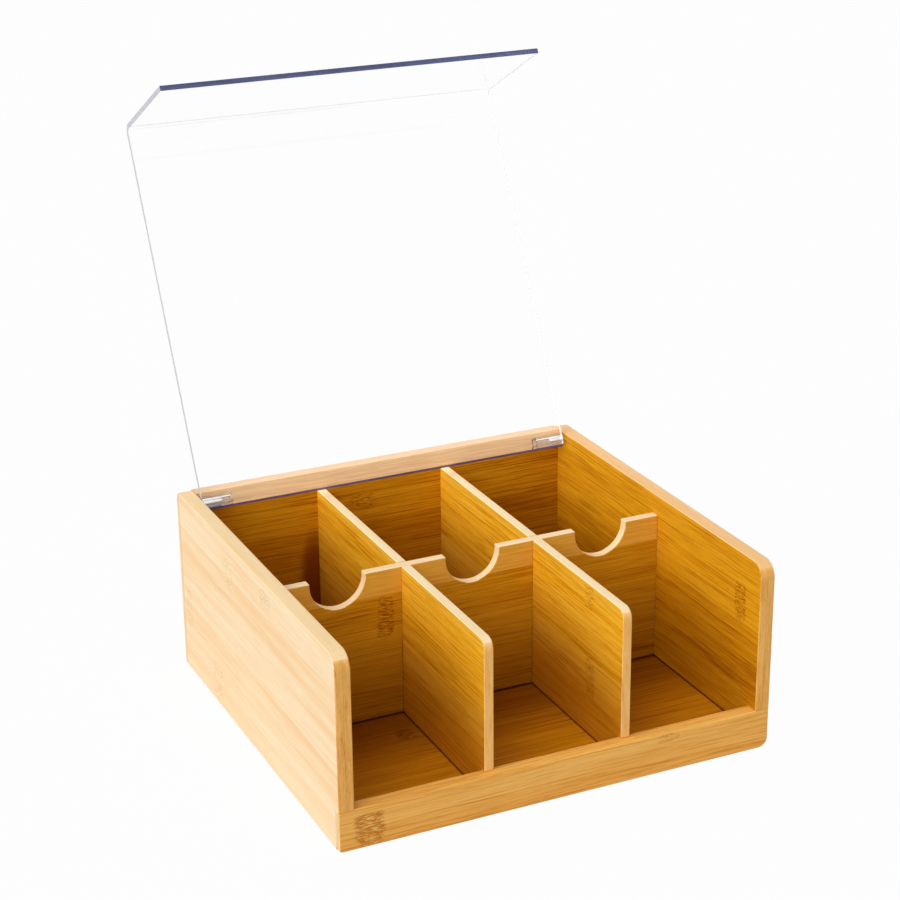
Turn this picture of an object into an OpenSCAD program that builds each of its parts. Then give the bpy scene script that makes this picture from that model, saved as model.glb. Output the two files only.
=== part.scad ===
// Tea bag organizer box: a bamboo tray with six compartments under a clear hinged lid.
//
// Frame: millimetres, +X to the right, +Y to the rear, +Z up. The origin is the middle of
// the front rail's underside. The lid is drawn open, leaning back on its hinge blocks.

/* [Box] */
// Outside width of the box, across the front
box_w = 254; // [220:1:320]
// Outside depth of the box, front to back
box_d = 240; // [215:1:300]
// Height of the side panels and the back panel
box_h = 110; // [90:1:140]
// Thickness of the side panels
side_t = 8.8; // [7.5:0.1:12]
// Thickness of the back panel
back_t = 8.8; // [7.5:0.1:12]
// Depth of the rebates where the rail and the back panel lap over the side panels' ends
lap_t = 4.4; // [2:0.1:5]
// Rounding of the side panels' top front corners
front_round = 9; // [2:0.5:15]
// Rounding of the side panels' top rear corners
rear_round = 5; // [2.5:0.5:8]
// Rounding of the box's two lower rear corners, seen from the side
heel_round = 3; // [1:0.5:5]
// Rounding of the back panel's top rear edge, between the side panels
back_ease = 2.5; // [0.5:0.5:4]

/* [Front rail] */
// Height of the low rail across the front
rail_h = 23.2; // [16:0.2:35]
// Thickness of the front rail
rail_t = 8.5; // [7.5:0.1:12]
// Rounding of the rail's lower left corner, seen from the front
left_toe_round = 2; // [1:0.5:8]
// Rounding of the rail's lower right corner, seen from the front
right_toe_round = 5.5; // [1:0.5:8]

/* [Bottom panel] */
// Thickness of the bottom panel
bottom_t = 5; // [3:0.1:7]
// Height of the bottom panel's underside above the surface that the box stands on
bottom_raise = 4.4; // [2:0.1:7]
// Depth of the grooves that hold the bottom panel's edges
groove_depth = 3; // [1:0.1:3.4]
// Gap between the bottom panel's edges and the grooves' ends, and above the panel
groove_gap = 0.2; // [0.1:0.05:0.4]

/* [Dividers] */
// Thickness of the dividers
divider_t = 5.5; // [4:0.1:7]
// How far the dividers' top edges lie below the side panels' top edges
divider_drop = 11.7; // [11.2:0.1:20]
// How far the long dividers' front edges are set back from the box's front face
divider_setback = 5.5; // [5.3:0.1:7]
// Gap between the long dividers' front ends and the top of the rail
divider_gap = 0.4; // [0.2:0.1:1]
// Rounding of the long dividers' top front corners
divider_round = 6; // [1:0.5:12]
// Distance from the box's front face to the middle of the cross divider
cross_y = 111.2; // [80:0.2:130]
// Gap on each side of a divider in the half-lap slots
slot_gap = 0.3; // [0.1:0.05:0.6]

/* [Finger notches] */
// Radius of the finger notches in the cross divider
notch_r = 16.2; // [8:0.1:20]
// Depth of the notches' centres below the cross divider's top edge
notch_drop = 1.7; // [0:0.1:6]

/* [Lid] */
// Thickness of the clear lid sheet
lid_t = 3; // [2:0.1:3.1]
// Gap between the lid's left edge and the left side panel
lid_left_gap = 0.5; // [0.4:0.1:3]
// Gap between the lid's right edge and the right side panel
lid_right_gap = 2.3; // [0.4:0.1:3]
// Height of the closed lid's underside above the dividers
lid_lift = 0.8; // [0.8:0.1:4]
// How far the closed lid's front flap is set back from the box's front face
flap_setback = 1.5; // [0.5:0.1:3]
// Gap between the closed lid's front flap and the top of the rail
flap_gap = 0.3; // [0.3:0.1:2]
// Radius on the inside of the bend between the lid's top and its front flap
bend_r = 3; // [1:0.5:8]
// Length of the lid sheet behind the hinge axis
lid_tail = 4.8; // [2.6:0.1:4.8]
// Bevel under the lid sheet's rear edge, which clears the dividers as the lid swings
tail_bevel = 2.4; // [2.4:0.1:2.6]
// Angle of the open lid, from closed
open_angle = 117.5; // [110:0.5:125]

/* [Hinges] */
// Depth of the clear hinge blocks, along the lid sheet
block_d = 6.4; // [6:0.1:7]
// Height of the hinge axis above the lid sheet
block_below = 3.1; // [3:0.1:3.5]
// Height of the hinge blocks above the hinge axis
block_above = 3.8; // [3.2:0.1:4.2]
// Rounding of the hinge blocks' upper rear edge, which swings past the back panel
block_round = 1.2; // [1:0.1:1.5]
// Length of the hinge blocks along the hinge axis
block_len = 18.8; // [12:0.1:30]
// Gap between the hinge blocks and the side panels
block_gap = 0.6; // [0.3:0.1:1.5]
// Gap left between the open lid's hinge blocks and the back panel, which stops them
stop_gap = 0.3; // [0.3:0.1:1]
// Diameter of the steel hinge pins
pin_d = 5; // [3:0.1:5]
// Length of the steel hinge pins
pin_len = 16; // [12:0.1:24]
// Chamfer on the hinge pins' ends
pin_chamfer = 0.6; // [0.2:0.1:1]
// How deep the left hinge pin sits in the left side panel
left_pin_depth = 2.5; // [2:0.1:6]
// How deep the right hinge pin sits in the right side panel
right_pin_depth = 6; // [2:0.1:6]
// Depth of the blind pin holes in the side panels
pin_hole_depth = 6.2; // [6:0.1:6.8]
// Radial running clearance of the hinge pins in the hinge blocks
pin_clearance = 0.08; // [0.02:0.01:0.1]

/* [Hidden] */
$fn = 96;

// Overrun of cutting shapes past the faces that they cut
cut = 1;

// Planes of the box, in the part's frame
left_x = -box_w / 2;
right_x = box_w / 2;
front_y = -rail_t / 2;
rear_y = front_y + box_d;
inner_left_x = left_x + side_t;
inner_right_x = right_x - side_t;
inner_w = inner_right_x - inner_left_x;
back_face_y = rear_y - back_t;
rail_face_y = front_y + rail_t;
floor_z = bottom_raise + bottom_t;

// Dividers: three equal columns of compartments, and half-lap slots that meet half way up
column_w = (inner_w - 2 * divider_t) / 3;
divider_top = box_h - divider_drop;
left_divider_x = inner_left_x + column_w;
right_divider_x = left_divider_x + divider_t + column_w;
cross_front_y = front_y + cross_y - divider_t / 2;
slot_w = divider_t + 2 * slot_gap;
slot_z = (floor_z + divider_top) / 2;

// Closed lid, and the hinge axis about which it opens
lid_under_z = divider_top + lid_lift;
lid_top_z = lid_under_z + lid_t;
flap_y = front_y + flap_setback;
flap_end_z = rail_h + flap_gap;
lid_w = inner_w - lid_left_gap - lid_right_gap;
axis_z = lid_top_z + block_below;
stop_reach = block_above * sin(open_angle) - block_d / 2 * cos(open_angle);
axis_y = back_face_y - stop_gap - stop_reach;
pin_r = pin_d / 2;

// Colours
bamboo_side = "#f0c98c";
bamboo_front = "#d9a05a";
bamboo_inner = "#cf8f36";
clear_acrylic = [0.80, 0.84, 0.95, 0.35];
steel = "#c4c6c9";

// Extrude an outline drawn in the Y-Z plane along +X, from x over a length
module along_x(x, length) {
    translate([x, 0, 0])
        rotate([90, 0, 90])
            linear_extrude(length) children();
}

// Extrude an outline drawn in the X-Z plane along +Y, from y over a length
module along_y(y, length) {
    translate([0, y + length, 0])
        rotate([90, 0, 0])
            linear_extrude(length) children();
}

// What a round of radius r removes from the square corner of an outline at the point p;
// side gives the directions, -1 or 1, from the corner towards the outline's outside
module corner_waste(p, side, r) {
    centre = [p[0] - side[0] * r, p[1] - side[1] * r];
    difference() {
        translate([min(centre[0], p[0] + side[0] * cut), min(centre[1], p[1] + side[1] * cut)])
            square(r + cut);
        translate(centre) circle(r);
    }
}

// The box's outline seen from the side, with rounded corners
module side_outline() {
    difference() {
        translate([front_y, 0]) square([box_d, box_h]);
        corner_waste([front_y, box_h], [-1, 1], front_round);
        corner_waste([rear_y, box_h], [1, 1], rear_round);
        corner_waste([rear_y, 0], [1, -1], heel_round);
    }
}

// Space that the bottom panel's edges take up in the panels around it
module bottom_groove() {
    x = inner_left_x - groove_depth;
    y = rail_face_y - groove_depth;
    translate([x, y, bottom_raise])
        cube([inner_w + 2 * groove_depth, back_face_y + groove_depth - y, bottom_t + groove_gap]);
}

// Side panel that starts at x: its profile, cut back at both ends where the rail and the
// back panel lap over it, grooved for the bottom panel and drilled for a hinge pin
module side_panel(x, pin_hole_x) {
    difference() {
        along_x(x, side_t) side_outline();
        translate([x - cut, front_y - cut, -cut])
            cube([side_t + 2 * cut, lap_t + cut, rail_h + cut]);
        translate([x - cut, rear_y - lap_t, -cut])
            cube([side_t + 2 * cut, lap_t + cut, box_h + 2 * cut]);
        bottom_groove();
        translate([pin_hole_x, axis_y, axis_z])
            rotate([0, 90, 0]) cylinder(r = pin_r, h = pin_hole_depth);
    }
}

module left_side_panel() {
    color(bamboo_side) side_panel(left_x, inner_left_x - pin_hole_depth);
}

module right_side_panel() {
    color(bamboo_side) side_panel(inner_right_x, inner_right_x);
}

// Back panel: fits between the side panels, and its outer layer laps over their ends
module back_panel() {
    color(bamboo_inner) difference() {
        union() {
            translate([inner_left_x, back_face_y, 0]) cube([inner_w, back_t, box_h]);
            intersection() {
                along_x(left_x, box_w) side_outline();
                translate([left_x, rear_y - lap_t, 0]) cube([box_w, lap_t, box_h]);
            }
        }
        along_x(left_x - cut, box_w + 2 * cut) {
            corner_waste([rear_y, box_h], [1, 1], back_ease);
            corner_waste([rear_y, 0], [1, -1], heel_round);
        }
        bottom_groove();
    }
}

// Front rail: fits between the side panels, and its outer layer laps over their ends
module front_rail() {
    color(bamboo_front) difference() {
        union() {
            translate([inner_left_x, front_y, 0]) cube([inner_w, rail_t, rail_h]);
            translate([left_x, front_y, 0]) cube([box_w, lap_t, rail_h]);
        }
        along_y(front_y - cut, rail_t + 2 * cut) {
            corner_waste([left_x, 0], [-1, -1], left_toe_round);
            corner_waste([right_x, 0], [1, -1], right_toe_round);
        }
        bottom_groove();
    }
}

// Bottom panel: its edges stand in grooves in the four panels around it
module bottom_panel() {
    reach = groove_depth - groove_gap;
    color(bamboo_inner)
        translate([inner_left_x - reach, rail_face_y - reach, bottom_raise])
            cube([inner_w + 2 * reach, back_face_y - rail_face_y + 2 * reach, bottom_t]);
}

// Long divider that starts at x: from the back panel to the rail, with a nose that reaches
// over the rail, and a slot from its top edge for the cross divider
module long_divider(x) {
    nose_y = front_y + divider_setback;
    nose_z = rail_h + divider_gap;
    color(bamboo_inner)
        along_x(x, divider_t)
            difference() {
                translate([nose_y, floor_z]) square([back_face_y - nose_y, divider_top - floor_z]);
                translate([nose_y - cut, floor_z - cut])
                    square([rail_face_y - nose_y + cut, nose_z - floor_z + cut]);
                corner_waste([nose_y, divider_top], [-1, 1], divider_round);
                translate([cross_front_y - slot_gap, slot_z])
                    square([slot_w, divider_top - slot_z + cut]);
            }
}

module left_divider() {
    long_divider(left_divider_x);
}

module right_divider() {
    long_divider(right_divider_x);
}

// Cross divider: slots from its lower edge over the long dividers, and one finger notch in
// the middle of each compartment
module cross_divider() {
    color(bamboo_inner)
        along_y(cross_front_y, divider_t)
            difference() {
                translate([inner_left_x, floor_z]) square([inner_w, divider_top - floor_z]);
                for (x = [left_divider_x, right_divider_x])
                    translate([x - slot_gap, floor_z - cut]) square([slot_w, slot_z - floor_z + cut]);
                for (column = [0:2])
                    translate([inner_left_x + column_w / 2 + column * (column_w + divider_t),
                               divider_top - notch_drop])
                        circle(notch_r);
            }
}

// Turn a closed lid piece about the hinge axis to the open pose
module opened() {
    translate([0, axis_y, axis_z])
        rotate([-open_angle, 0, 0])
            translate([0, -axis_y, -axis_z]) children();
}

// Lid sheet: one clear sheet, bent down at the front into a flap and bevelled at the rear
module lid_sheet() {
    outer_r = bend_r + lid_t;
    bend_y = flap_y + outer_r;
    bend_z = lid_top_z - outer_r;
    color(clear_acrylic)
        opened()
            along_x(inner_left_x + lid_left_gap, lid_w) {
                polygon([[bend_y, lid_under_z], [axis_y + lid_tail - tail_bevel, lid_under_z],
                         [axis_y + lid_tail, lid_under_z + tail_bevel],
                         [axis_y + lid_tail, lid_top_z], [bend_y, lid_top_z]]);
                translate([flap_y, flap_end_z]) square([lid_t, bend_z - flap_end_z]);
                intersection() {
                    translate([flap_y, bend_z]) square(outer_r);
                    translate([bend_y, bend_z])
                        difference() {
                            circle(outer_r);
                            circle(bend_r);
                        }
                }
            }
}

// Hinge block that starts at x: a small bar on the lid sheet, rounded at the edge that
// swings past the back panel, and bored right through for its pin
module hinge_block(x) {
    block_h = block_below + block_above;
    color(clear_acrylic)
        opened()
            difference() {
                along_x(x, block_len)
                    difference() {
                        translate([axis_y - block_d / 2, lid_top_z]) square([block_d, block_h]);
                        corner_waste([axis_y + block_d / 2, lid_top_z + block_h], [1, 1], block_round);
                    }
                translate([x - cut, axis_y, axis_z])
                    rotate([0, 90, 0])
                        cylinder(r = pin_r + pin_clearance, h = block_len + 2 * cut);
            }
}

module left_hinge_block() {
    hinge_block(inner_left_x + block_gap);
}

module right_hinge_block() {
    hinge_block(inner_right_x - block_gap - block_len);
}

// Hinge pin that starts at x: a plain steel pin with chamfered ends
module hinge_pin(x) {
    color(steel)
        translate([x, axis_y, axis_z])
            rotate([0, 90, 0])
                rotate_extrude()
                    polygon([[0, 0], [pin_r - pin_chamfer, 0], [pin_r, pin_chamfer],
                             [pin_r, pin_len - pin_chamfer], [pin_r - pin_chamfer, pin_len],
                             [0, pin_len]]);
}

module left_hinge_pin() {
    hinge_pin(inner_left_x - left_pin_depth);
}

module right_hinge_pin() {
    hinge_pin(inner_right_x + right_pin_depth - pin_len);
}

left_side_panel();
right_side_panel();
back_panel();
front_rail();
bottom_panel();
left_divider();
right_divider();
cross_divider();
lid_sheet();
left_hinge_block();
right_hinge_block();
left_hinge_pin();
right_hinge_pin();
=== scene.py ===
from math import radians

import bmesh
import bpy
import numpy as np
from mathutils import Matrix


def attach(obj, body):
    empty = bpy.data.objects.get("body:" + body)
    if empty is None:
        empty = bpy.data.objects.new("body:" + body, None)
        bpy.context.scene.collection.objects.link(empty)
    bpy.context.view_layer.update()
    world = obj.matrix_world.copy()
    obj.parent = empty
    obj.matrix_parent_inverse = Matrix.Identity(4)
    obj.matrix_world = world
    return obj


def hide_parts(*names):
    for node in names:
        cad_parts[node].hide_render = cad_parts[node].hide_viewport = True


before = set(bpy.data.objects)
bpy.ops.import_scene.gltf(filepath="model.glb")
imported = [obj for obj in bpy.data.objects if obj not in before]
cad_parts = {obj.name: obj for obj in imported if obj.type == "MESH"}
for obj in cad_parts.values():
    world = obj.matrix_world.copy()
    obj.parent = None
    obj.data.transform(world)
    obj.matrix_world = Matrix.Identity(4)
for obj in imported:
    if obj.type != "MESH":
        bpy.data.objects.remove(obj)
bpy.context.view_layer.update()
MM = 0.001


# Side panels. Two boards of pressed bamboo strips, 8.8 mm thick, with their grain from front to
# back. The front top corner is rounded off, the arrises are sanded round and the wood is sealed
# with a satin varnish. The rail and the back panel lap over their ends and are glued there.
class Wire:
    """A shader socket with arithmetic: an expression on wires adds Math nodes that work it out."""

    tree = None

    def __init__(self, socket):
        self.socket = socket

    @classmethod
    def node(cls, kind, inputs=None, output=0, stops=None, **settings):
        """Adds a node: its settings, then a ramp's stops, then its sockets' values or links."""
        made = cls.tree.nodes.new("ShaderNode" + kind)
        for name, value in settings.items():
            setattr(made, name, value)
        for i, (place, colour) in enumerate(stops or []):
            element = made.color_ramp.elements[i] if i < 2 else made.color_ramp.elements.new(place)
            element.position, element.color = place, (*colour, 1)
        for name, value in (inputs or {}).items():
            if isinstance(value, Wire):
                cls.tree.links.new(value.socket, made.inputs[name])
            else:
                made.inputs[name].default_value = value
        return cls(made.outputs[output])

    def maths(self, operation, other=0.0, flip=False):
        first, second = (other, self) if flip else (self, other)
        return Wire.node("Math", {0: first, 1: second}, operation=operation)

    def __add__(self, other):
        return self.maths("ADD", other)

    def __sub__(self, other):
        return self.maths("SUBTRACT", other)

    def __rsub__(self, other):
        return self.maths("SUBTRACT", other, flip=True)

    def __mul__(self, other):
        return self.maths("MULTIPLY", other)

    __radd__, __rmul__ = __add__, __mul__

    def __truediv__(self, other):
        return self.maths("DIVIDE", other)

    def between(self, low, high):
        """0 below low, 1 above high, and a smooth step from one to the other."""
        return Wire.node("MapRange", {"Value": self, "From Min": low, "From Max": high},
                         interpolation_type="SMOOTHSTEP")

    def tint(self, first, second, blend="MIX"):
        """The colour first where this wire is 0 and second where it is 1."""
        inputs = {0: self, 6: first if isinstance(first, Wire) else (*first, 1),
                  7: second if isinstance(second, Wire) else (*second, 1)}
        return Wire.node("Mix", inputs, output=2, data_type="RGBA", blend_type=blend)


ALONG_X, ALONG_Y, LYING = (0, 0, 0), (0, 0, -90), (90, 0, 0)
ALONG, ACROSS = 0, 2


def grain_place(turn):
    """Object coordinates in millimetres, turned so that x runs along the grain, y through the
    board's thickness and z across its strips. Returns the three as wires."""
    place = Wire.node("TexCoord", output="Object")
    turned = Wire.node("Mapping", {"Vector": place, "Scale": (1 / MM,) * 3,
                                   "Rotation": [radians(a) for a in turn]})
    split = Wire.node("SeparateXYZ", {"Vector": turned})
    return [Wire(split.socket.node.outputs[i]) for i in range(3)]


def fibre(along, through, across, size, seed, detail=2.0, twist=0.0):
    """Noise stretched along the grain: size is the fibres' length, depth and width in mm."""
    vector = Wire.node("CombineXYZ", {"X": along / size[0], "Y": through / size[1],
                                      "Z": across / size[2]})
    return Wire.node("TexNoise", {"Vector": vector, "W": seed, "Scale": 1.0, "Detail": detail,
                                  "Roughness": 0.6, "Distortion": twist}, noise_dimensions="4D")


def finish_material(base, rough, bump, metallic=0.0, gloss=0.5):
    """Joins colour, roughness and height to the shader of the material that is being made."""
    shader = Wire.tree.nodes.new("ShaderNodeBsdfPrincipled")
    shader.inputs["Metallic"].default_value = metallic
    shader.inputs["Specular IOR Level"].default_value = gloss
    Wire.tree.links.new(base.socket, shader.inputs["Base Color"])
    Wire.tree.links.new(rough.socket, shader.inputs["Roughness"])
    Wire.tree.links.new(bump.socket, shader.inputs["Normal"])
    output = Wire.tree.nodes.new("ShaderNodeOutputMaterial")
    Wire.tree.links.new(shader.outputs[0], output.inputs["Surface"])
    return shader


def new_material(name):
    material = bpy.data.materials.new(name)
    material.use_nodes = True
    material.node_tree.nodes.clear()
    Wire.tree = material.node_tree
    return material


def shares_of(colour, shares):
    """The colour with each of its three parts times its share."""
    return tuple(part * share for part, share in zip(colour, shares))


def wood_colour(tone, pale, deep, vein):
    """The wood's colour by its tone: vein, deep, halfway and pale, from dark to light."""
    half = tuple((a + b) / 2 for a, b in zip(pale, deep))
    return Wire.node("ValToRGB", {"Fac": tone},
                     stops=[(0.05, vein), (0.85, pale), (0.33, deep), (0.58, half)])


GLUE_SHOWS, GRAIN_DEPTH = 0.35, 0.12 * MM


def bamboo(name, turn, pale, deep, seed, strip=19.0, shift=0.0, knots=(), lines=0.7, bands=0.8,
           dark=(0.62, 0.48, 0.3), painted_light_strip=None, corners=(), stains=()):
    """Pressed bamboo strips. Each strip, floor(across / strip), has its own tone. Broad bands, long
    streaks and fine fibres run along the grain with thin dark veins and dashes among them, and a
    line of glue shows where two strips meet. A knot (along, across, half length, half width, depth)
    is a strip's joint: a patch of short dark and bright flecks, where 1 - ((x-x0)/a)^4 -
    ((z-z0)/b)^4 is over 0, with an edge as ragged as the streaks, and bolder the deeper it is. A
    stain (the same, with a colour) fades out as 1 - ((x-x0)/a)^2 - ((z-z0)/b)^2 does. The top strip
    (from, colour) is painted light: a paler colour above that height, for the better lit top of the
    face. Corners (ALONG or ACROSS, places, width, shade) are painted shade where other boards meet
    this one: the colour is multiplied there by the factors in shade, fading out over width. A
    narrow one is a dark line in the joint, painted shade and partly glue. The share of the wood's
    colour that a vein keeps is dark."""
    material = new_material(name)
    along, through, across = place = grain_place(turn)
    waver, apart, wander = 2.4, 400.0, 5.0
    # The strips' joints waver a little, and each strip is cut from another stretch of the noise.
    sway = fibre(along, through, across, (55, 30, 30), seed + 3, detail=0.0)
    across = across + sway * waver - waver / 2
    cell = across / strip + shift
    number = cell.maths("FLOOR")
    own = Wire.node("TexWhiteNoise", {"W": number + seed}, noise_dimensions="1D", output="Value")
    run = along + own * apart
    broad = fibre(run, through, across, (130, 9.0, 8.0), seed, detail=1.0)
    streak = fibre(run, through, across, (72, 1.0, 0.75), seed + 5)
    fine = fibre(run, through, across, (16, 0.6, 0.5), seed + 7)
    line = fibre(run, through, across, (38, 0.8, 0.6), seed + 11, detail=1.0)
    dash = fibre(run, through, across, (5.5, 0.42, 0.34), seed + 13, detail=1.0)
    vein = shares_of(deep, dark)
    tone = ((broad - 0.5) * bands + (streak - 0.5) * 1.5 + (fine - 0.5) * 1.1
            + (own - 0.5) * 0.4 + 0.57)
    colour = wood_colour(tone, pale, deep, vein)
    pore = line.between(0.52, 0.66).maths("MAXIMUM", dash.between(0.60, 0.74) * 0.7)
    colour = (pore * lines).tint(colour, vein)
    # Painted light: above the top strip's height the face takes a paler colour, as where more light
    # falls on it.
    if painted_light_strip:
        height, cream = painted_light_strip
        painted_lit_colour = (fine * 0.6 + streak * 0.4 - pore * 0.15).between(0.36, 0.6).tint(
            shares_of(cream, (0.84, 0.77, 0.7)), cream)
        colour = (place[ACROSS] - height).between(0.0, 0.3).tint(colour, painted_lit_colour)
    rise = fine * 0.5 - pore * 0.4
    # Knots and stains wander with the bands, so that none of them is a plain oval.
    drift = (broad - 0.5) * wander
    for x0, z0, a, b, brown in stains:
        dx, dz = (along + drift - x0) / a, (across - z0) / b
        soaked = (1.0 - dx * dx - dz * dz).between(0.0, 0.85) * (streak * 0.6 + 0.68)
        colour = soaked.tint(colour, brown)
    if knots:
        fleck = fibre(along, through, across, (3.4, 0.8, 0.62), seed + 29, detail=3.0, twist=0.7)
        near = patch = fleck * 0.0
        ragged = (streak - 0.5) * 2.2
        for x0, z0, a, b, depth in knots:
            dx, dz = (along + drift - x0) / a, (across - z0) / b
            dx, dz = dx * dx, dz * dz
            here = (1.0 - dx * dx - dz * dz - ragged).between(0.0, 0.7)
            near, patch = near.maths("MAXIMUM", here), patch.maths("MAXIMUM", here * depth)
        shade = fleck.between(0.51, 0.38) * near
        gleam = fleck.between(0.52, 0.64) * near
        force = patch * 0.9 + 0.45
        colour = (patch + shade * force).tint(colour, shares_of(vein, (0.84, 0.75, 0.55)))
        colour = (gleam * force).tint(colour, tuple(min(1.0, part * 1.2) for part in pale))
        rise = rise + gleam * 0.5 - shade * 0.5
    joint = (0.5 - (cell - number - 0.5).maths("ABSOLUTE")) * strip
    glue = 1.0 - joint.between(0.06, 0.3)
    colour = (glue * GLUE_SHOWS).tint(colour, vein)
    # Painted shade: near each place where another board meets this one the colour is multiplied
    # down, darkest at that place.
    for direction, places, width, shade in corners:
        for spot in places:
            away = (place[direction] - spot).maths("ABSOLUTE")
            painted_shade = 1.0 - away.between(0.2 * width, width)
            colour = painted_shade.tint(colour, shade, "MULTIPLY")
    rough = fine * 0.22 + 0.4
    bump = Wire.node("Bump", {"Height": rise - glue * 0.5, "Strength": 0.25,
                              "Distance": GRAIN_DEPTH})
    finish_material(colour, rough, bump, gloss=0.15)
    return material


def end_grain(name, turn, pale, deep, seed, middle=None, crown=None):
    """The sawn end of a board: fibre ends show as specks drawn out across the strips. A line of
    glue shows where two plies meet, at the distance middle through the board. Over a rounded
    corner the end turns to the colour of the edge, crown (from, to, colour), which carries the
    edge's painted light over the corner."""
    material = new_material(name)
    along, through, across = grain_place(turn)
    speck = fibre(along, through, across, (1.0, 0.45, 2.6), seed)
    cloud = fibre(along, through, across, (9.0, 1.9, 16.0), seed + 5, detail=1.0)
    tone = (speck - 0.5) * 1.1 + (cloud - 0.5) * 1.3 + 0.57
    vein = shares_of(deep, (0.75, 0.62, 0.45))
    colour = wood_colour(tone, pale, deep, vein)
    # Painted light: the rounded corner takes the edge's paler colour.
    if crown:
        low, high, edge = crown
        colour = across.between(low, high).tint(colour, edge)
    if middle is not None:
        glue = 1.0 - (through - middle).maths("ABSOLUTE").between(0.08, 0.35)
        colour = (glue * GLUE_SHOWS).tint(colour, vein)
    bump = Wire.node("Bump", {"Height": speck, "Strength": 0.3, "Distance": GRAIN_DEPTH})
    finish_material(colour, speck * 0.2 + 0.6, bump, gloss=0.03)
    return material


# Two lengths, three angles in degrees, and how much an arris's faces favour an edge or end.
BURIED, WELD = 1.5 * MM, 0.002 * MM
FLAT, ARRIS_FROM, SHARP_FROM, EDGE_FAVOUR = 0.5, 30, 40, 0.02


def board(name, node, picks, ease, raw, glued=None):
    """A sanded board: the skin of the node's solid with its facets joined. picks are (direction,
    material), the two broad faces first: a face takes the material whose direction lies nearest to
    its normal n. A face picked as None is glued against another board, and so is one that lies more
    than BURIED inside the board's furthest point along n, in a groove, hole or lap, unless
    glued(middles) says which are: these take the material raw. An arris between two other faces is
    rolled to the radius ease where it is convex, so where the line into its first face, n1 x run,
    dips under the second, and it looks as the edge or end beside it does. The shading normals
    follow the larger faces, so flats stay flat."""
    skin = bmesh.new()
    skin.from_mesh(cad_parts[node].data)
    bmesh.ops.remove_doubles(skin, verts=skin.verts, dist=WELD)
    bmesh.ops.dissolve_limit(skin, angle_limit=radians(FLAT), verts=skin.verts, edges=skin.edges)
    mesh = bpy.data.meshes.new(name)
    skin.to_mesh(mesh)

    def read(items, field, kind=np.int32, width=1):
        values = np.empty(width * len(items), kind)
        items.foreach_get(field, values)
        return values.reshape(-1, width) if width > 1 else values

    normals = read(mesh.polygons, "normal", np.float32, 3)
    spots = read(mesh.vertices, "co", np.float32, 3)
    first, total = read(mesh.polygons, "loop_start"), read(mesh.polygons, "loop_total")
    corner, edge = read(mesh.loops, "vertex_index"), read(mesh.loops, "edge_index")
    after = np.arange(len(corner)) + 1
    after[first + total - 1] = first
    run = spots[corner[after]] - spots[corner]
    owner = np.repeat(np.arange(len(total)), total)
    directions = np.array([direction for direction, _ in picks], float)
    chosen = (normals @ directions.T).argmax(axis=1)
    if glued:
        hidden = glued(np.add.reduceat(spots[corner], first) / total[:, None] / MM)
    else:
        furthest = (normals @ spots.T).max(axis=1)
        hidden = furthest - (normals * spots[corner[first]]).sum(axis=1) > BURIED
        hidden |= np.array([material is None for _, material in picks])[chosen]
    chosen[hidden] = len(picks)
    pair = np.argsort(edge, kind="stable").reshape(-1, 2)
    one, two = owner[pair[:, 0]], owner[pair[:, 1]]
    convex = (np.cross(normals[one], run[pair[:, 0]]) * normals[two]).sum(axis=1) < 0
    sharp = (normals[one] * normals[two]).sum(axis=1) < np.cos(radians(ARRIS_FROM))
    arris = convex & sharp & ~hidden[one] & ~hidden[two]
    mesh.polygons.foreach_set("material_index", chosen.astype(np.int32))
    skin.clear()
    skin.from_mesh(mesh)
    rolled = [edge for edge, wanted in zip(skin.edges, arris) if wanted]
    made = bmesh.ops.bevel(skin, geom=rolled, offset=ease * MM, segments=3, profile=0.5,
                           affect="EDGES")
    skin.normal_update()
    lean = np.where(np.arange(len(picks)) < 2, 0.0, EDGE_FAVOUR)
    for face in made["faces"]:
        face.material_index = int((directions @ face.normal + lean).argmax())
    for face in skin.faces:
        face.smooth = True
    for edge in skin.edges:
        edge.smooth = edge.calc_face_angle(0) < radians(SHARP_FROM)
    skin.to_mesh(mesh)
    skin.free()
    for _, material in picks + [(None, raw)]:
        mesh.materials.append(material or raw)
    piece = bpy.data.objects.new(name, mesh)
    bpy.context.scene.collection.objects.link(piece)
    flat = piece.modifiers.new("flat faces", "WEIGHTED_NORMAL")
    flat.weight, flat.keep_sharp = 100, True
    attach(piece, "box")
    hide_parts(node)


LEFT, RIGHT, FRONT = (-1, 0, 0), (1, 0, 0), (0, -1, 0)
REAR, UP, DOWN = (0, 1, 0), (0, 0, 1), (0, 0, -1)
FLOOR_TOP, ROUND_FROM, ROUND_TO, PLY_JOINT, SIDE_ARRIS = 9.4, 105, 109, 122.6, 0.7
SOFT, OUTER_PALE, OUTER_DEEP = (0.97, 0.93, 0.88), (0.98, 0.78, 0.51), (0.96, 0.65, 0.35)
# All the boards are one bamboo, with light and shade painted into their colours. Here the outer
# faces' pale colour is painted light, the inner faces' deep orange is painted shade, and their
# corners entry paints more shade, darker towards the floor. The edges' paler colours are painted
# light on the top edges, and the end grain's crown carries it over the rounded corner.
side_outer = bamboo("side panel outer bamboo", ALONG_Y, OUTER_PALE, OUTER_DEEP, seed=3.1,
                    strip=15.0, lines=0.35, bands=1.3, dark=SOFT,
                    knots=[(92, 101, 9, 6, 0.12), (150, 92, 8, 12, 0.05),
                           (176, 14, 9, 13, 0.08), (222, 40, 6, 14, 0.05)])
side_inner = bamboo("side panel inner bamboo", ALONG_Y, (0.84, 0.40, 0.012), (0.70, 0.28, 0.003),
                    seed=5.7, shift=0.35, knots=[(15, 81, 6, 13, 0.3)],
                    corners=[(ACROSS, (FLOOR_TOP,), 80, (0.72, 0.66, 0.5))])
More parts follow.
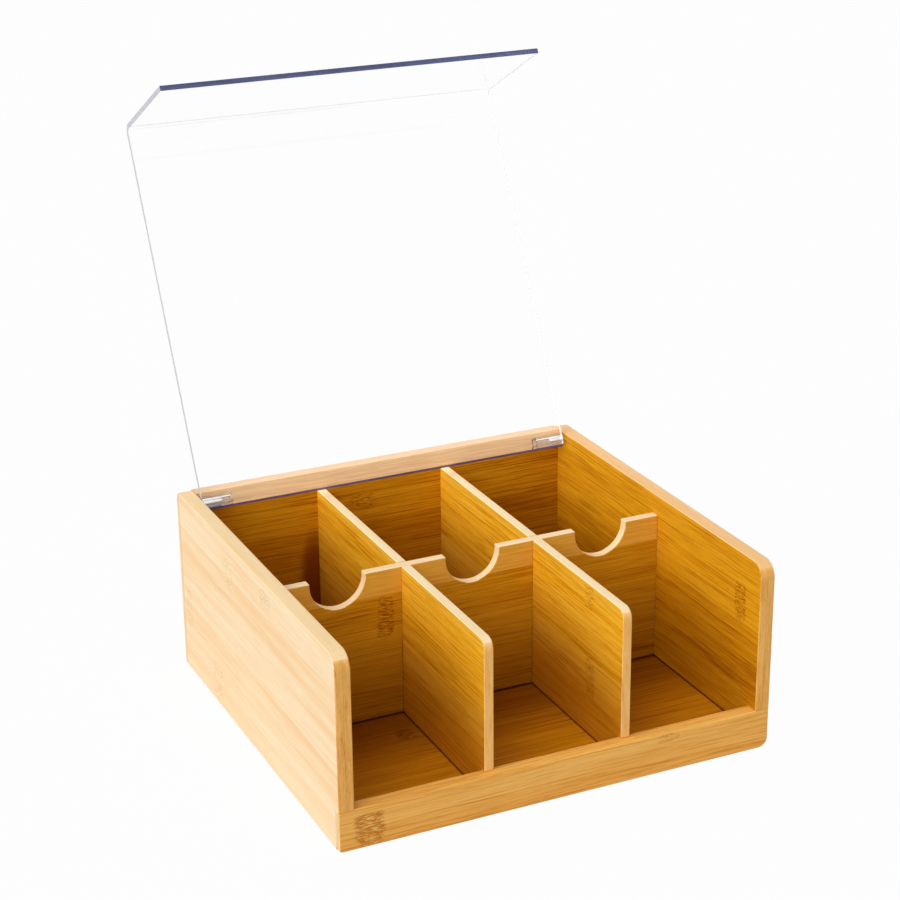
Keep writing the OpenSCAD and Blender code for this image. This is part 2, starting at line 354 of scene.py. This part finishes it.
side_edge = {side: bamboo(side + " side panel edge bamboo", ALONG_Y, pale, deep, seed=9.2,
                          lines=0.4, dark=SOFT)
             for side, pale, deep in (("left", (1.0, 0.79, 0.48), (1.0, 0.72, 0.39)),
                                      ("right", (0.98, 0.66, 0.33), (0.95, 0.57, 0.25)))}
side_end = {side: end_grain(side + " side panel end grain", ALONG_Y, (0.95, 0.52, 0.15),
                            (0.80, 0.37, 0.08), seed=11.3, middle=middle,
                            crown=(ROUND_FROM, ROUND_TO, tone))
            for side, middle, tone in (("left", PLY_JOINT, (1.0, 0.77, 0.45)),
                                       ("right", -PLY_JOINT, (0.97, 0.61, 0.29)))}
for side, outward, inward in (("left", LEFT, RIGHT), ("right", RIGHT, LEFT)):
    board(side + "_side_board", side + "_side_panel",
          [(outward, side_outer), (inward, side_inner), (UP, side_edge[side]),
           (DOWN, side_edge[side]), (FRONT, side_end[side]), (REAR, None)],
          ease=SIDE_ARRIS, raw=side_end[side])

# Back panel. One bamboo board with its grain from side to side. Its inner half fits between the
# side panels and its outer half laps over their ends, so its end grain shows as a narrow strip.
BACK_ARRIS, PAINTED_LIGHT_FROM = 0.7, 98.9
# The inner face's dark colour is painted shade, darker still towards the floor by its corners
# entry, and its paler top strip is painted light; the stain is the wood's own. The outer face's
# pale colour and the edge's paler one are painted light.
back_inner = bamboo("back panel bamboo", ALONG_X, (0.70, 0.31, 0.006), (0.54, 0.205, 0.001),
                    seed=15.4, shift=0.2, knots=[(-14, 85.5, 10, 5.5, 0.2)],
                    stains=[(-46, 34, 12, 46, (0.26, 0.055, 0.002))],
                    painted_light_strip=(PAINTED_LIGHT_FROM, (0.94, 0.61, 0.275)),
                    corners=[(ACROSS, (FLOOR_TOP,), 70, (0.7, 0.6, 0.5))])
back_outer = bamboo("back panel outer bamboo", ALONG_X, OUTER_PALE, OUTER_DEEP, seed=16.6,
                    strip=15.0, lines=0.35, bands=1.3, dark=SOFT,
                    knots=[(-80, 92, 9, 7, 0.12), (34, 60, 8, 12, 0.08), (92, 24, 8, 9, 0.08)])
back_edge = bamboo("back panel edge bamboo", ALONG_X, (0.86, 0.56, 0.32), (0.82, 0.50, 0.26),
                   seed=17.8, lines=0.4, dark=SOFT)
back_end = end_grain("back panel end grain", ALONG_X, (0.95, 0.70, 0.42), (0.86, 0.56, 0.29),
                     seed=19.0)
board("back_board", "back_panel",
      [(FRONT, back_inner), (REAR, back_outer), (UP, back_edge), (DOWN, back_edge),
       (LEFT, back_end), (RIGHT, back_end)], ease=BACK_ARRIS, raw=back_inner)

# Bottom panel. A thin bamboo board that stands in grooves in the four panels round it, with its
# grain from side to side. Its dark colour is painted shade. A dark line runs round the floor of
# each compartment, painted shade in the joints and partly glue, and the floor is painted darker
# towards the cross divider and the back panel, as painted shade.
BOTTOM_ARRIS, JOINT_SHADE_WIDTHS = 0.2, (1.9, 3.4)
WALLS_X = (-118.2, -43.07, -37.57, 37.57, 43.07, 118.2)
RAIL_BACK, CROSS_FRONT, CROSS_BACK, BACK_FRONT = 4.25, 104.2, 109.7, 226.95
JOINT = (0.26, 0.08, 0.3)
floor_face = bamboo("bottom panel bamboo", LYING, (0.68, 0.28, 0.004), (0.52, 0.185, 0.0015),
                    seed=21.5, strip=22.0, knots=[(-53, 80, 6, 7, 0.3)], lines=0.5,
                    corners=[(ALONG, WALLS_X, JOINT_SHADE_WIDTHS[0], JOINT),
                             (ACROSS, (RAIL_BACK, CROSS_FRONT, CROSS_BACK, BACK_FRONT),
                              JOINT_SHADE_WIDTHS[1], JOINT),
                             # Painted shade: darker towards the cross divider and the back panel.
                             (ACROSS, (CROSS_FRONT, BACK_FRONT), 62, (0.46, 0.36, 0.3))])
board("bottom_board", "bottom_panel",
      [(UP, floor_face), (DOWN, floor_face)], ease=BOTTOM_ARRIS, raw=floor_face)

# Front rail. A low bamboo bar across the front, laid on edge, with the side panels standing behind
# its lapped ends. Its strips run from side to side and one of them has its joint at the left end.
RAIL_ARRIS, RAIL_DARK = 0.8, (0.75, 0.62, 0.45)
rail_front = bamboo("front rail bamboo", ALONG_X, (0.98, 0.54, 0.14), (0.90, 0.42, 0.07),
                    seed=23.6, strip=17.5, shift=0.62, lines=0.55, dark=RAIL_DARK,
                    knots=[(-110, 10.5, 9, 10.5, 0.55), (64, 20.5, 7, 3, 0.15)])
rail_edge = bamboo("front rail edge bamboo", ALONG_X, (0.99, 0.58, 0.15), (0.92, 0.47, 0.09),
                   seed=25.9, lines=0.5, dark=RAIL_DARK)
rail_end = end_grain("front rail end grain", ALONG_X, (0.94, 0.66, 0.37), (0.84, 0.53, 0.25),
                     seed=27.1)
board("front_rail_board", "front_rail",
      [(FRONT, rail_front), (REAR, side_inner), (UP, rail_edge), (DOWN, rail_edge),
       (LEFT, rail_end), (RIGHT, rail_end)], ease=RAIL_ARRIS, raw=rail_end)

# Dividers. Two long boards from front to back and one across, 5.5 mm thick, slotted over each
# other half way up and glued. The long ones have a rounded nose over the rail, and the one across
# has a round finger notch in the middle of each compartment.
DIVIDER_ARRIS, NOSE_FROM, NOSE_TO, CROSS_PAINTED_LIGHT_FROM = 0.6, 94.5, 97.8, 83.0
SLOT_X, SLOT_HALF, SLOT_TOP = 40.3, 3.5, 60
CREAM = (1.0, 0.79, 0.50)
divider_knots = {"left": (), "right": [(38, 90, 5.5, 8, 0.15), (36, 44, 5.5, 13, 0.15)]}
# The faces' bright orange is painted light on their upper parts, and their corners entry paints
# shade, darker towards the floor. The edge's cream is painted light on the top edges, and the end
# grain's crown carries it over the nose.
divider_face = {side: bamboo(side + " divider bamboo", ALONG_Y, (1.0, 0.57, 0.05),
                             (0.93, 0.44, 0.01), seed=31.4, shift=0.1, knots=knots,
                             corners=[(ACROSS, (FLOOR_TOP,), 81, (0.54, 0.38, 0.17))])
                for side, knots in divider_knots.items()}
divider_edge = bamboo("long divider edge bamboo", ALONG_Y, (1.0, 0.85, 0.56), (1.0, 0.79, 0.47),
                      seed=33.3, lines=0.4, dark=SOFT)
divider_end = end_grain("long divider end grain", ALONG_Y, (0.99, 0.60, 0.21), (0.95, 0.49, 0.14),
                        seed=35.7, crown=(NOSE_FROM, NOSE_TO, CREAM))
for side in ("left", "right"):
    board(side + "_divider_board", side + "_divider",
          [(LEFT, divider_face[side]), (RIGHT, divider_face[side]), (UP, divider_edge),
           (DOWN, None), (FRONT, divider_end), (REAR, None)],
          ease=DIVIDER_ARRIS, raw=divider_end)
# The face's paler top strip is painted light, its corners entry paints shade, darker towards the
# floor, and the edges' cream is painted light on the top edge.
cross_face = bamboo("cross divider bamboo", ALONG_X, (0.76, 0.37, 0.012), (0.62, 0.26, 0.002),
                    seed=37.9, shift=0.63, knots=[(-53, 69.5, 5.5, 13.5, 0.4)], lines=0.5,
                    painted_light_strip=(CROSS_PAINTED_LIGHT_FROM, (0.88, 0.47, 0.06)),
                    corners=[(ACROSS, (FLOOR_TOP,), 75, (0.7, 0.62, 0.5))])
cross_edge = bamboo("cross divider edge bamboo", ALONG_X, CREAM, (1.0, 0.71, 0.40), seed=39.2,
                    lines=0.4, dark=SOFT)


def in_slot(middle):
    """The faces of the two slots that the long dividers stand in, told by their middles."""
    beside = abs(abs(middle[:, 0]) - SLOT_X) < SLOT_HALF
    return beside & (middle[:, 2] < SLOT_TOP)


board("cross_divider_board", "cross_divider",
      [(FRONT, cross_face), (REAR, cross_face), (UP, cross_edge), (DOWN, cross_edge),
       (LEFT, cross_edge), (RIGHT, cross_edge)], ease=DIVIDER_ARRIS, raw=cross_face, glued=in_slot)

# Lid sheet. One sheet of clear 3 mm acrylic, bent down at the front into a flap over the open
# front, with sawn and flamed edges whose slate blue end on is a painted reflection. It stands
# open on its hinge pins.
AXIS_Y, AXIS_Z, OPEN = 221.8018, 105.2, 117.5


def opened(y, z):
    """Turns points of the closed lid about the hinge axis into the open pose, by -117.5 degrees
    about +X: y' = y0 + (y-y0) cos - (z-z0) sin and z' = z0 + (y-y0) sin + (z-z0) cos."""
    cos, sin = np.cos(radians(-OPEN)), np.sin(radians(-OPEN))
    return (AXIS_Y + (y - AXIS_Y) * cos - (z - AXIS_Z) * sin,
            AXIS_Z + (y - AXIS_Y) * sin + (z - AXIS_Z) * cos)


def arc(cy, cz, radius, start, stop, steps):
    """Points on a circle from the angle start to stop, in degrees, left about from +Y."""
    angle = np.radians(np.linspace(start, stop, steps))
    return np.column_stack([cy + radius * np.cos(angle), cz + radius * np.sin(angle)])


HOLD, ROLL_RINGS = 1.4, 4


def rolled_ends(start, stop, ease):
    """The path of a bar along +X whose ends have a rolled arris: the places of its rings, and how
    far the outline is drawn in at each. A ring lies ease * (1 - cos a) from its end and is drawn in
    by ease * (1 - sin a), for a from 0 to 90 degrees. One more on the end face, drawn in by
    HOLD * ease, and one on the bar at that distance from the end keep the flats flat where light
    goes through."""
    angle = np.linspace(0, np.pi / 2, ROLL_RINGS)
    drawn = ease * np.concatenate([[HOLD], 1 - np.sin(angle), [0]])
    depth = ease * np.concatenate([[0], 1 - np.cos(angle), [HOLD]])
    return (np.concatenate([start + depth, (stop - depth)[::-1]]),
            np.concatenate([drawn, drawn[::-1]]))


def in_metres(x, y, z):
    """Rings of points, with one x for each ring, as rows of x, y and z in metres."""
    rows = np.stack([np.broadcast_to(x[:, None], y.shape), y, z], axis=-1)
    return rows.reshape(-1, 3) * MM


def between_rings(rings, around, joined=False):
    """Quads over rings of points, where point s of ring r is number r * around + s. Each joins two
    neighbours on a ring to the same two on the next. The last ring meets the first if joined."""
    ring, spot = np.meshgrid(np.arange(rings if joined else rings - 1), np.arange(around),
                             indexing="ij")
    here, there, beside = ring * around, (ring + 1) % rings * around, (spot + 1) % around
    quads = np.stack([here + spot, there + spot, there + beside, here + beside], axis=-1)
    return quads.reshape(-1, 4).tolist()


def slab(loop, start, stop, ease):
    """A closed outline of (y, z) points carried along +X over the rings of rolled_ends. It is drawn
    in square to its sides, along the mitre (n1 + n2) / (1 + n1 . n2) of the two that meet at each
    point, and a face closes each end."""
    xs, drawn = rolled_ends(start, stop, ease)
    before, after = loop - np.roll(loop, 1, axis=0), np.roll(loop, -1, axis=0) - loop
    sides = [np.column_stack([-d[:, 1], d[:, 0]]) / np.linalg.norm(d, axis=1)[:, None]
             for d in (before, after)]
    mitre = sides[0] + sides[1]
    mitre /= (1 + (sides[0] * sides[1]).sum(axis=1))[:, None]
    rings = loop[None] + drawn[:, None, None] * mitre[None]
    y, z = opened(rings[..., 0], rings[..., 1])
    count, around = len(xs), len(loop)
    caps = [np.arange(around).tolist(),
            (np.arange(around)[::-1] + (count - 1) * around).tolist()]
    return in_metres(xs, y, z), between_rings(count, around) + caps


def surface(name, points, faces, body, node, materials, picks=None, sharp=35):
    """Puts points and faces into a mesh of its own, turned to face outwards, and hangs it on a
    body. Edges sharper than the angle sharp stay crisp."""
    mesh = bpy.data.meshes.new(name)
    mesh.from_pydata(points, [], faces)
    turn = bmesh.new()
    turn.from_mesh(mesh)
    bmesh.ops.recalc_face_normals(turn, faces=turn.faces)
    turn.to_mesh(mesh)
    turn.free()
    for material in materials:
        mesh.materials.append(material)
    if picks is not None:
        mesh.polygons.foreach_set("material_index", picks.astype(np.int32))
    mesh.polygons.foreach_set("use_smooth", np.ones(len(mesh.polygons), bool))
    mesh.set_sharp_from_angle(angle=radians(sharp))
    piece = bpy.data.objects.new(name, mesh)
    bpy.context.scene.collection.objects.link(piece)
    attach(piece, body)
    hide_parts(node)


ACRYLIC_INDEX, MARK_DEPTH = 1.49, 0.05 * MM


def clear(name, tone):
    """Clear acrylic: glass with faint polishing marks, which lets the lamps' light through."""
    material = new_material(name)
    along, through, across = grain_place(ALONG_X)
    haze = fibre(along, through, across, (24, 24, 24), 2.5)
    scuff = fibre(along, through, across, (1.2, 30, 30), 4.5)
    shader = finish_material(haze.tint(tone, shares_of(tone, (0.99,) * 3)), haze * 0.02,
                             Wire.node("Bump", {"Height": scuff + haze, "Strength": 0.02,
                                                "Distance": MARK_DEPTH}))
    shader.inputs["Transmission Weight"].default_value = 1.0
    shader.inputs["IOR"].default_value = ACRYLIC_INDEX
    output = next(n for n in Wire.tree.nodes if n.type == "OUTPUT_MATERIAL")
    shadow = Wire.node("LightPath", output="Is Shadow Ray")
    shaded = Wire.node("BsdfTransparent", {"Color": (0.97, 0.97, 0.98, 1)})
    mixed = Wire.node("MixShader", {0: shadow, 1: Wire(shader.outputs[0]), 2: shaded})
    Wire.tree.links.new(mixed.socket, output.inputs["Surface"])
    return material


def sawn(name, tone, deep, rough, see_through):
    """A cut edge of acrylic, partly see-through. Its colour is a painted reflection: it stands in
    for the surroundings that the edge shows by light led along the sheet.
    """
    material = new_material(name)
    along, through, across = grain_place(ALONG_X)
    marks = fibre(along, through, across, (0.9, 0.9, 0.9), 6.5)
    drift = fibre(along, through, across, (40, 6, 6), 8.5)
    colour = (drift.between(0.35, 0.65) * 0.7 + marks * 0.3).tint(tone, deep)
    shader = finish_material(colour, marks * 0.2 + rough,
                             Wire.node("Bump", {"Height": marks, "Strength": 0.1,
                                                "Distance": MARK_DEPTH}))
    shader.inputs["Transmission Weight"].default_value = see_through
    shader.inputs["IOR"].default_value = ACRYLIC_INDEX
    return material


acrylic = clear("clear acrylic", (0.999, 0.999, 1.0))
# Painted reflections: the flap's slate, the tail's violet and the sides' pale colour stand in for
# what the edges reflect from inside the sheet.
slate = sawn("flap edge acrylic", (0.10, 0.12, 0.30), (0.06, 0.07, 0.18), 0.2, 0.3)
violet = sawn("tail edge acrylic", (0.16, 0.13, 0.44), (0.10, 0.085, 0.33), 0.2, 0.25)
pale_edge = sawn("side edge acrylic", (0.88, 0.88, 0.97), (0.80, 0.80, 0.92), 0.1, 0.4)
LID_LEFT, LID_RIGHT, LID_ARRIS = -117.7, 115.9, 0.15
UNDER, TOP, FLAP, FLAP_END, BEND, TAIL, TAIL_CUT = 99.1, 102.1, -2.75, 23.5, 3.0, 4.8, 2.4
SHEET, TAIL_END = TOP - UNDER, AXIS_Y + TAIL
bend_y, bend_z = FLAP + BEND + SHEET, TOP - BEND - SHEET
near, half_cut, bend_steps = 0.4, TAIL_CUT / 2, 25
lid_loop = np.vstack([
    [[TAIL_END, TOP], [bend_y + near, TOP]],
    arc(bend_y, bend_z, BEND + SHEET, 90, 180, bend_steps),
    [[FLAP, bend_z - near], [FLAP, FLAP_END], [FLAP + SHEET, FLAP_END],
     [FLAP + SHEET, bend_z - near]],
    arc(bend_y, bend_z, BEND, 180, 90, bend_steps),
    [[bend_y + near, UNDER], [TAIL_END - TAIL_CUT, UNDER],
     [TAIL_END - half_cut, UNDER + half_cut], [TAIL_END, UNDER + TAIL_CUT]]])
points, faces = slab(lid_loop, LID_LEFT, LID_RIGHT, LID_ARRIS)
# The flap's sawn edge starts at the second point after the outer bend, and the tail's chamfer and
# sawn edge start at the last two points.
flap_cut, tail_cut = 2 + bend_steps + 1, len(lid_loop) - 2
rings = (len(faces) - 2) // len(lid_loop)
spots, ring = np.tile(np.arange(len(lid_loop)), rings), np.repeat(np.arange(rings), len(lid_loop))
at_side = (ring < ROLL_RINGS) | (ring >= rings - ROLL_RINGS)
lid_picks = np.select([at_side, spots == flap_cut, spots >= tail_cut], [3, 1, 2], 0)
lid_picks = np.concatenate([lid_picks, [3, 3]])
surface("lid_sheet_acrylic", points, faces, "lid", "lid_sheet",
        [acrylic, slate, violet, pale_edge], lid_picks)

# Hinge blocks. Two small bars of the same acrylic, cemented to the lid near its rear corners and
# bored through from end to end for the pins. The arris that swings past the back panel is rounded.
BLOCK_LOW, BLOCK_HIGH, BLOCK_DEPTH, BLOCK_LENGTH = -3.04, 3.8, 6.4, 18.8
BLOCK_ROUND, BLOCK_SMALL_ROUND, BLOCK_ARRIS, BORE = 1.2, 0.3, 0.35, 2.49
BLOCK_STARTS = {"left": -117.6, "right": 98.8}


def bored_bar(start, stop, spokes=96):
    """A bar along +X with a round bore. Each point of the outline is where a spoke from the bore's
    axis meets the bar's rounded square side; the path across it runs in along the outline's
    rolled arris, over the end face to the bore, through the bore and out over the other end."""
    half, small = BLOCK_DEPTH / 2, BLOCK_SMALL_ROUND
    outline = np.vstack([arc(half - BLOCK_ROUND, BLOCK_HIGH - BLOCK_ROUND, BLOCK_ROUND, 0, 90, 12),
                         arc(-half + small, BLOCK_HIGH - small, small, 90, 180, 5),
                         arc(-half + small, BLOCK_LOW + small, small, 180, 270, 5),
                         arc(half - small, BLOCK_LOW + small, small, 270, 360, 5)])
    bearing = np.arctan2(outline[:, 1], outline[:, 0])
    order = np.argsort(bearing)
    spoke = np.linspace(-np.pi, np.pi, spokes, endpoint=False)
    spoke = np.sort(np.concatenate([spoke, bearing]))
    reach = np.hypot(outline[:, 0], outline[:, 1])
    y = np.interp(spoke, bearing[order], outline[order, 0], period=2 * np.pi)
    z = np.interp(spoke, bearing[order], outline[order, 1], period=2 * np.pi)
    xs, drawn = rolled_ends(start, stop, BLOCK_ARRIS)
    xs = np.concatenate([xs, [stop, start]])
    keep = 1 - drawn / np.median(reach)
    ring_y = np.vstack([keep[:, None] * y, np.tile(BORE * np.cos(spoke), (2, 1))])
    ring_z = np.vstack([keep[:, None] * z, np.tile(BORE * np.sin(spoke), (2, 1))])
    y, z = opened(AXIS_Y + ring_y, AXIS_Z + ring_z)
    return in_metres(xs, y, z), between_rings(len(xs), len(spoke), joined=True)


block_acrylic = clear("hinge block acrylic", (0.999, 0.996, 0.998))
for side, start in BLOCK_STARTS.items():
    points, faces = bored_bar(start, start + BLOCK_LENGTH)
    surface(side + "_hinge_block_acrylic", points, faces, "lid", side + "_hinge_block",
            [block_acrylic])

# Hinge pins. Plain steel pins, 5 mm thick and 16 mm long, with chamfered ends. Each is pressed into
# a blind hole in its side panel, and the lid's block turns on the rest of it.
PIN_RADIUS, PIN_LENGTH, PIN_CHAMFER = 2.5, 16.0, 0.6
PIN_STARTS = {"left": -120.7, "right": 108.2}
steel = new_material("bright steel pin")
along, through, across = grain_place(ALONG_X)
turning = fibre(along, through, across, (0.12, 6, 6), 41.0)
wear = fibre(along, through, across, (3, 3, 3), 43.0)
finish_material((turning * 0.6 + wear * 0.4).tint((0.90, 0.89, 0.88), (0.98, 0.97, 0.96)),
                turning * 0.15 + 0.12,
                Wire.node("Bump", {"Height": turning, "Strength": 0.15, "Distance": 0.02 * MM}),
                metallic=0.9)


def pin(start, spokes=48):
    """A turned pin along +X: the profile (distance along, radius) swept right round the hinge
    axis. A ring close to the middle of each end keeps the end flat, and a face closes it."""
    neck = PIN_RADIUS - PIN_CHAMFER
    profile = np.array([[0, 0.02], [0, neck], [0.06, neck + 0.08],
                        [PIN_CHAMFER, PIN_RADIUS - 0.03], [PIN_CHAMFER + 0.15, PIN_RADIUS]])
    profile = np.vstack([profile, np.column_stack([PIN_LENGTH - profile[::-1, 0],
                                                   profile[::-1, 1]])])
    spoke = np.linspace(0, 2 * np.pi, spokes, endpoint=False)
    y = AXIS_Y + profile[:, 1, None] * np.cos(spoke)
    z = AXIS_Z + profile[:, 1, None] * np.sin(spoke)
    caps = [np.arange(spokes).tolist(),
            (np.arange(spokes) + (len(profile) - 1) * spokes).tolist()]
    return in_metres(start + profile[:, 0], y, z), between_rings(len(profile), spokes) + caps


for side, start in PIN_STARTS.items():
    points, faces = pin(start)
    surface(side + "_hinge_pin_steel", points, faces, "box", side + "_hinge_pin",
            [steel], sharp=30)

# Studio. A white table top that runs on as far as the camera sees, a white room, and a large soft
# lamp high on the left in front of the box.
camera = bpy.data.objects.new("camera", bpy.data.cameras.new("camera"))
camera.data.lens, camera.data.sensor_width = 86.965, 36.0
camera.data.clip_end = 100.0
camera.location = (-0.47505, -0.88895, 0.58453)
camera.rotation_euler = (radians(68.8652), radians(0.5357), radians(-25.1558))
bpy.context.scene.collection.objects.link(camera)
bpy.context.scene.camera = camera
bpy.context.scene.view_settings.view_transform = "Standard"
TABLE_GLOW, TABLE_REACH, ROOM_LIGHT = 0.97, 30.0, 0.45


def looked_at(share):
    """The share for rays that look at the studio, straight, mirrored or through glass, and 0 for
    the rest."""
    path = Wire.tree.nodes.new("ShaderNodeLightPath")
    looks = Wire(path.outputs["Is Camera Ray"])
    for ray in ("Is Glossy Ray", "Is Transmission Ray"):
        looks = looks.maths("MAXIMUM", Wire(path.outputs[ray]))
    return looks * share


table = new_material("white table top")
shade = Wire.node("BsdfDiffuse", {"Color": (0.6, 0.6, 0.6, 1)})
white = Wire.node("Emission", {"Color": (1, 1, 1, 1), "Strength": 1.0})
top = Wire.node("MixShader", {0: looked_at(TABLE_GLOW), 1: shade, 2: white})
output = Wire.tree.nodes.new("ShaderNodeOutputMaterial")
Wire.tree.links.new(top.socket, output.inputs["Surface"])
mesh = bpy.data.meshes.new("table_top")
mesh.from_pydata([(x * TABLE_REACH, y * TABLE_REACH, 0)
                  for x, y in ((-1, -1), (1, -1), (1, 1), (-1, 1))], [], [(0, 1, 2, 3)])
mesh.materials.append(table)
table_top = bpy.data.objects.new("table_top", mesh)
bpy.context.scene.collection.objects.link(table_top)

world = bpy.data.worlds.new("white room")
world.use_nodes = True
world.node_tree.nodes.clear()
bpy.context.scene.world = world
Wire.tree = world.node_tree
room = Wire.node("Background", {"Color": (1, 1, 1, 1), "Strength": ROOM_LIGHT})
seen = Wire.node("Background", {"Color": (1, 1, 1, 1), "Strength": 1.0})
both = Wire.node("MixShader", {0: looked_at(1.0), 1: room, 2: seen})
output = Wire.tree.nodes.new("ShaderNodeOutputWorld")
Wire.tree.links.new(both.socket, output.inputs["Surface"])

lamp = bpy.data.objects.new("large soft lamp", bpy.data.lights.new("large soft lamp", "SUN"))
lamp.data.energy, lamp.data.angle = 2.21, radians(60)
lamp.rotation_euler = (radians(51.5), 0, radians(-65.9))
bpy.context.scene.collection.objects.link(lamp)
